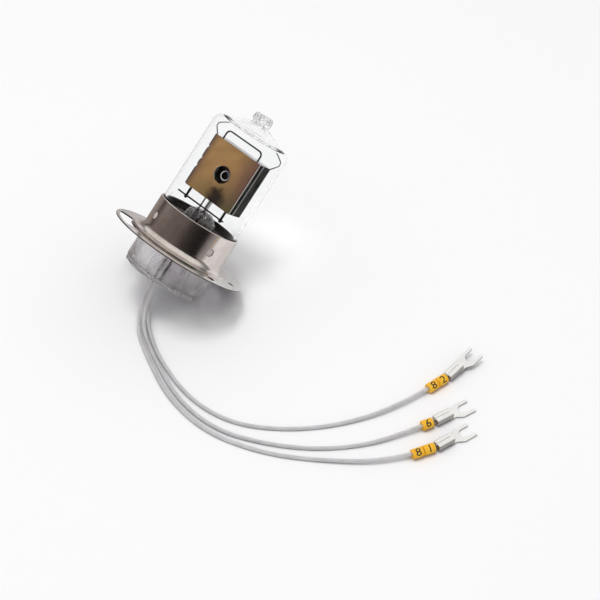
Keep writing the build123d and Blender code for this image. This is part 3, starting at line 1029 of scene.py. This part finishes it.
foot_edge = bulb_radius - foot_round
stem_outline = [(foot_inner - 0.1, foot_bottom), (foot_edge, foot_bottom)]
stem_outline += arc((foot_edge, foot_bottom + foot_round), foot_round, -80, 0, 6)
stem_outline += [(bulb_radius, bulb_bottom - 0.05), (foot_inner, bulb_bottom - 0.02)]
stem_outline += bezier((foot_inner, bulb_bottom), (stem_radius, -10.1), (stem_radius, stem_flare_top), 16)
stem_outline += stretch((stem_radius, stem_flare_top), (stem_radius, stem_shoulder), 8)
stem_outline += arc((stem_radius - stem_round, stem_shoulder), stem_round, 0, 88, 12)[1:]
stem_outline += [(1.2, stem_top), (0.0, stem_top)]
stem_outline += pinch_underside
stem_outline += stretch(pinch_underside[-1], (stem_bore, air_flare_top), 6)
air_corner = (stem_bore, air_flare_bottom)
air_end = (air_flare_radius, air_flare_bottom)
stem_outline += bezier((stem_bore, air_flare_top), air_corner, air_end, 16)
stem_outline += bezier(air_end, (12.9, air_flare_bottom), (foot_inner - 0.1, foot_bottom + 0.1), 5)
stem_mesh = revolved("stem_glass", stem_outline, 160, shift=stem_shift)
stem = new_object("stem_glass", stem_mesh, stem_glass_mat, ("glass_stem",))
part_faces(stem, foot_glass_mat, high=foot_glass_below, inside=foot_glass_inside)


# Flange and sleeve: turned from a rounded outline, then drilled, with exact normals
class Straight:
    def __init__(self, start, end, normal):
        self.start = start
        self.end = end
        self.normal = normal

    def points(self):
        return [self.start]

    def distance(self, r, z):
        r0, z0 = self.start
        dr = self.end[0] - r0
        dz = self.end[1] - z0
        t = max(0.0, min(1.0, ((r - r0) * dr + (z - z0) * dz) / (dr * dr + dz * dz)))
        return math.hypot(r - r0 - dr * t, z - z0 - dz * t)

    def normal_at(self, r, z):
        return self.normal


class Round:
    # A hollow arc has its normals turned to its centre
    def __init__(self, centre, radius, start, end, steps, hollow=False):
        self.centre = centre
        self.radius = radius
        self.start = start
        self.end = end
        self.steps = steps
        self.side = -1.0 if hollow else 1.0

    def points(self):
        return arc(self.centre, self.radius, self.start, self.end, self.steps)[:-1]

    def distance(self, r, z):
        dr = r - self.centre[0]
        dz = z - self.centre[1]
        angle = math.degrees(math.atan2(dz, dr))
        low, high = sorted((self.start, self.end))
        while angle < low - 1e-6:
            angle += 360
        if angle > high + 2:
            return math.inf
        return abs(math.hypot(dr, dz) - self.radius)

    def normal_at(self, r, z):
        dr = r - self.centre[0]
        dz = z - self.centre[1]
        length = math.hypot(dr, dz)
        return (self.side * dr / length, self.side * dz / length)


def drill_mesh(outline, span, matrix):
    # A closed prism: its outline in XY, from the span's lower level to its upper one
    work = bmesh.new()
    rings = [[work.verts.new((x, y, level)) for x, y in outline] for level in span]
    bridge(work, rings)
    cap(work, rings)
    return finished(work, "drill", matrix, soft=False)


def round_outline(x, y, radius, sides=40):
    return arc((x, y), radius, 0, 360, sides)[:-1]


def stand_in(name, mesh):
    obj = bpy.data.objects.new(name, mesh)
    bpy.context.scene.collection.objects.link(obj)
    return obj


def exact_normals(mesh, parts):
    # The turned outline's normals, except on the walls that the drills left
    same_way = 0.8
    turned = LAMP.to_3x3().normalized()
    normals = [None] * len(mesh.loops)
    for face in mesh.polygons:
        middle = LAMP_INVERSE @ face.center
        radius = math.hypot(middle.x, middle.y)
        part = min(parts, key=lambda item: item.distance(radius, middle.z))
        for loop in face.loop_indices:
            place = LAMP_INVERSE @ mesh.vertices[mesh.loops[loop].vertex_index].co
            reach = math.hypot(place.x, place.y)
            out, along = part.normal_at(reach, place.z)
            exact = turned @ Vector((out * place.x / reach, out * place.y / reach, along))
            exact.normalize()
            normals[loop] = exact if exact.dot(face.normal) > same_way else face.normal.copy()
    return normals


def turned_and_drilled(name, parts, drills, material, replaced):
    outline = [point for part in parts for point in part.points()]
    body = stand_in(name + "_body", revolved(name + "_turned", outline, ring_segments))
    cutters = []
    for drill in drills:
        cutter = stand_in(name + "_drill", drill)
        cut = body.modifiers.new("cut", "BOOLEAN")
        cut.operation = "DIFFERENCE"
        cut.solver = "EXACT"
        cut.object = cutter
        cutters.append(cutter)
    bpy.context.view_layer.update()
    evaluated = body.evaluated_get(bpy.context.evaluated_depsgraph_get())
    mesh = bpy.data.meshes.new_from_object(evaluated)
    mesh.name = name
    for item in cutters + [body]:
        bpy.data.objects.remove(item)
    mesh.materials.clear()
    work = bmesh.new()
    work.from_mesh(mesh)
    bmesh.ops.triangulate(work, faces=work.faces)
    work.to_mesh(mesh)
    work.free()
    mesh.polygons.foreach_set("use_smooth", [True] * len(mesh.polygons))
    mesh.normals_split_custom_set(exact_normals(mesh, parts))
    return new_object(name, mesh, material, replaced)


def slot_outline():
    # The outer arc, then the inner one back, with the corners cut off
    points = []
    for radius, start, end, inward in (
        (slot_outer, slot_start, slot_end, -slot_corner),
        (slot_inner, slot_end, slot_start, slot_corner),
    ):
        inset = math.copysign(math.degrees(slot_corner / radius), end - start)
        points += arc((0.0, 0.0), radius, start + inset, end - inset, slot_steps)
        points.append(polar(radius + inward, end))
        points.append(polar(slot_outer + slot_inner - radius - inward, end))
    return points


round_edge = flange_radius - flange_edge
flange_parts = [
    Straight((flange_bore, 0.0), (round_edge, 0.0), (0.0, 1.0)),
    Round((round_edge, -flange_edge), flange_edge, 90, 0, 4),
    Straight((flange_radius, -flange_edge), (flange_radius, flange_edge - flange_sheet), (1.0, 0.0)),
    Round((round_edge, flange_edge - flange_sheet), flange_edge, 0, -90, 4),
    Straight((round_edge, -flange_sheet), (flange_bore, -flange_sheet), (0.0, -1.0)),
    Straight((flange_bore, -flange_sheet), (flange_bore, 0.0), (-1.0, 0.0)),
]
flange_drills = [drill_mesh(slot_outline(), flange_drill_span, LAMP)]
for circle, degrees, radius in flange_holes:
    hole = round_outline(*polar(circle, degrees), radius)
    flange_drills.append(drill_mesh(hole, flange_drill_span, LAMP))
turned_and_drilled(
    "flange_plate", flange_parts, flange_drills, flange_mat, ("mounting_flange",)
)

lip = sleeve_lip
foot_lip = sleeve_foot - lip
top_lip = sleeve_top - lip
bend_end = sleeve_inner + sleeve_bend
sweep_end = sleeve_outer + sleeve_sweep
sweep_top = sleeve_sheet + sleeve_sweep
sleeve_parts = [
    Straight((sleeve_inner, top_lip), (sleeve_inner, sleeve_bend), (-1.0, 0.0)),
    Round((bend_end, sleeve_bend), sleeve_bend, 180, 270, 10),
    Straight((bend_end, 0.0), (sleeve_foot, 0.0), (0.0, -1.0)),
    Straight((sleeve_foot, 0.0), (sleeve_foot, sleeve_sheet - lip), (1.0, 0.0)),
    Round((foot_lip, sleeve_sheet - lip), lip, 0, 90, 4),
    Straight((foot_lip, sleeve_sheet), (sweep_end, sleeve_sheet), (0.0, 1.0)),
    Round((sweep_end, sweep_top), sleeve_sweep, 270, 180, 20, hollow=True),
    Straight((sleeve_outer, sweep_top), (sleeve_outer, top_lip), (1.0, 0.0)),
    Round((sleeve_outer - lip, top_lip), lip, 0, 90, 4),
    Straight((sleeve_outer - lip, sleeve_top), (sleeve_inner + lip, sleeve_top), (0.0, 1.0)),
    Round((sleeve_inner + lip, top_lip), lip, 90, 180, 4),
]
sleeve_hole = round_outline(0, 0, sleeve_hole_radius)
sleeve_drills = []
for degrees in sleeve_hole_degs:
    place = Matrix.Rotation(math.radians(degrees), 4, "Z")
    place = place @ Matrix.Translation((0, 0, sleeve_hole_height))
    place = LAMP @ place @ Matrix.Rotation(math.radians(90), 4, "Y")
    sleeve_drills.append(drill_mesh(sleeve_hole, sleeve_drill_span, place))
turned_and_drilled(
    "sleeve_collar", sleeve_parts, sleeve_drills, nickel_mat, ("mounting_sleeve",)
)


def cement_plug(name, degrees):
    # A flat round drop that fills a hole of the collar, a little below its surface
    profile = ((0.0, 15.62), (0.5, 15.63), (0.9, 15.64), (1.2, 15.6), (1.4, 15.5), (1.42, 15.2))
    work = bmesh.new()
    rings = []
    for radius, reach in profile:
        spots = round_outline(0, 0, radius, 32) if radius else [(0.0, 0.0)]
        ring = []
        for across, along in spots:
            out = math.sqrt(reach * reach - across * across)
            ring.append(work.verts.new((out, across, sleeve_hole_height + along)))
        rings.append(ring)
    bridge(work, rings)
    work.faces.new(rings[-1])
    mesh = finished(work, name, LAMP @ Matrix.Rotation(math.radians(degrees), 4, "Z"))
    new_object(name, mesh, plug_mat)


for index, degrees in enumerate(sleeve_hole_degs):
    cement_plug("cement_plug_" + str(index + 1), degrees)

# Metal and ceramic pieces that keep their solid's shape
dressed = {
    "cement_ring": cement_mat,
    "front_shield": shield_mat,
    "cathode_frame": electrode_mat,
    "aperture_plate": sheet_mat,
    "aperture_funnel": funnel_mat,
    "rear_housing": electrode_mat,
    "anode_plate": sheet_mat,
    "anode_ceramic_tube": alumina_mat,
    "cathode_filament": coil_mat,
    "anode_rod": post_mat,
    "lead_in_left": post_mat,
    "lead_in_right": post_mat,
    "cross_wire": wire_mat,
    "support_leg_left": wire_mat,
    "support_leg_right": wire_mat,
    "top_hoop": wire_mat,
    "spring_left": wire_mat,
    "spring_right": wire_mat,
}
for name, material in dressed.items():
    dress(name, material)


# Floor
def floor_material():
    # Pale, darker where metal mirrors it to the left and in front, and in the contact shadow
    pale = (0.948, 0.946, 0.951)
    left = (-0.755, 0.656, 0.0)
    front = (0.3, -0.954, 0.0)
    s = Shade("pale floor")
    position = s.position()
    base = s.cloudy(s.noise(position, 6.0, 2.0), (0.925, 0.925, 0.927), (0.935, 0.935, 0.935))
    path = s.add("ShaderNodeLightPath")
    direct = s.math("LESS_THAN", path.outputs["Transmission Depth"], 0.5)
    mirrored = s.math("MULTIPLY", path.outputs["Is Glossy Ray"], direct)
    aside = s.math("DIVIDE", s.dot(position, left), 0.5)
    far = s.grey(aside, (0.0, 0.0), (0.01, 0.25), (0.08, 1.0))
    base = s.mix(s.math("MULTIPLY", far, mirrored), base, (0.3, 0.25, 0.23))
    ahead = s.grey(s.dot(position, front), (0.088, 0.0), (0.1, 0.75), (0.3, 1.0))
    base = s.mix(s.math("MULTIPLY", ahead, mirrored), base, (0.2, 0.18, 0.17))
    near = s.add("ShaderNodeAmbientOcclusion", samples=8)
    near.inputs["Distance"].default_value = 0.02
    contact = s.grey(near.outputs["AO"], (0.25, 1.0), (0.75, 0.0))
    seen = s.mix(contact, pale, (0.42, 0.41, 0.43))
    base = s.mix(path.outputs["Is Camera Ray"], base, seen)
    return s.done(s.principled(Base_Color=base, Roughness=0.75, Specular_IOR_Level=0.2))


floor_reach = 3.0
plane = bpy.data.meshes.new("floor")
corners = [(x * floor_reach, y * floor_reach, 0) for x, y in ((-1, -1), (1, -1), (1, 1), (-1, 1))]
plane.from_pydata(corners, [], [(0, 1, 2, 3)])
floor = stand_in("floor", plane)
plane.materials.append(floor_material())


# World
def studio_world():
    # Even pale light; in metal, a room with a dark side and a lighter side
    world = bpy.data.worlds.new("studio")
    world.use_nodes = True
    s = Nodes(world.node_tree)
    view_side = Vector((-0.574, -0.536, 0.6005)).normalized()
    right_side = AXIS.cross(view_side).normalized()
    direction = s.add("ShaderNodeTexCoord").outputs["Generated"]
    turn = s.math("ARCTAN2", s.dot(direction, right_side), s.dot(direction, view_side))
    share = s.math("ADD", s.math("DIVIDE", turn, 2 * math.pi), 0.5)
    room = s.ramp(share, [
        (0.0, (0.45, 0.42, 0.4)),
        (0.2, (0.3, 0.26, 0.24)),
        (0.36, (0.17, 0.14, 0.13)),
        (0.45, (0.13, 0.105, 0.095)),
        (0.5, (0.05, 0.04, 0.035)),
        (0.57, (0.012, 0.01, 0.01)),
        (0.645, (0.02, 0.018, 0.016)),
        (0.665, (0.72, 0.7, 0.67)),
        (1.0, (0.85, 0.84, 0.82)),
    ])
    ahead = s.grey(s.dot(direction, AXIS), (0.2, 0.0), (0.5, 1.0))
    hall = s.mix(ahead, room, (0.93, 0.92, 0.9))
    rise = s.grey(s.dot(direction, (0.0, 0.0, 1.0)), (0.0, 0.3), (0.1, 0.35), (0.3, 1.0))
    shine = s.background(s.mix(1.0, hall, rise, "MULTIPLY"), 1.0)
    even = s.background((1.0, 0.995, 1.0), 0.72)
    white = s.background((0.98, 0.98, 0.98), 1.0)
    # White where the camera sees it, straight, through glass or mirrored behind glass
    path = s.add("ShaderNodeLightPath")
    glossy = path.outputs["Is Glossy Ray"]
    through = s.math("GREATER_THAN", path.outputs["Transmission Depth"], 0.5)
    seen = s.math("MAXIMUM", path.outputs["Is Camera Ray"], path.outputs["Is Transmission Ray"])
    seen = s.math("MAXIMUM", seen, s.math("MULTIPLY", glossy, through))
    mirrored = s.math("MAXIMUM", s.math("SUBTRACT", glossy, through), 0.0)
    sky = s.mix_shader(mirrored, s.mix_shader(seen, even, white), shine)
    s.fill(s.add("ShaderNodeOutputWorld").inputs[0], sky)
    return world


bpy.context.scene.world = studio_world()

# Studio light: a soft disc overhead that metal doesn't mirror
key_place = Vector((-0.06, 0.05, 1.02))
key_aim = Vector((0.0, -0.02, 0.02))
key_data = bpy.data.lights.new("key", "AREA")
key_data.shape = "DISK"
key_data.size = 0.34
key_data.energy = 3.4
key = stand_in("key", key_data)
key.location = key_place
key.rotation_mode = "QUATERNION"
key.rotation_quaternion = (key_aim - key_place).to_track_quat("-Z", "Y")
key.visible_glossy = False

# Camera
camera_place = Vector((-0.24913, -0.33704, 0.39956))
camera_aim = Vector((0.01542, -0.03239, 0.0))
camera_data = bpy.data.cameras.new("camera")
camera_data.sensor_width = 36.0
camera_data.lens = 94.85
camera_data.clip_start = 0.01
camera_data.clip_end = 20.0
camera = stand_in("camera", camera_data)
camera.location = camera_place
camera.rotation_mode = "QUATERNION"
camera.rotation_quaternion = (camera_aim - camera_place).to_track_quat("-Z", "Y")
bpy.context.scene.camera = camera
bpy.context.scene.view_settings.view_transform = "Standard"

bpy.context.view_layer.update()
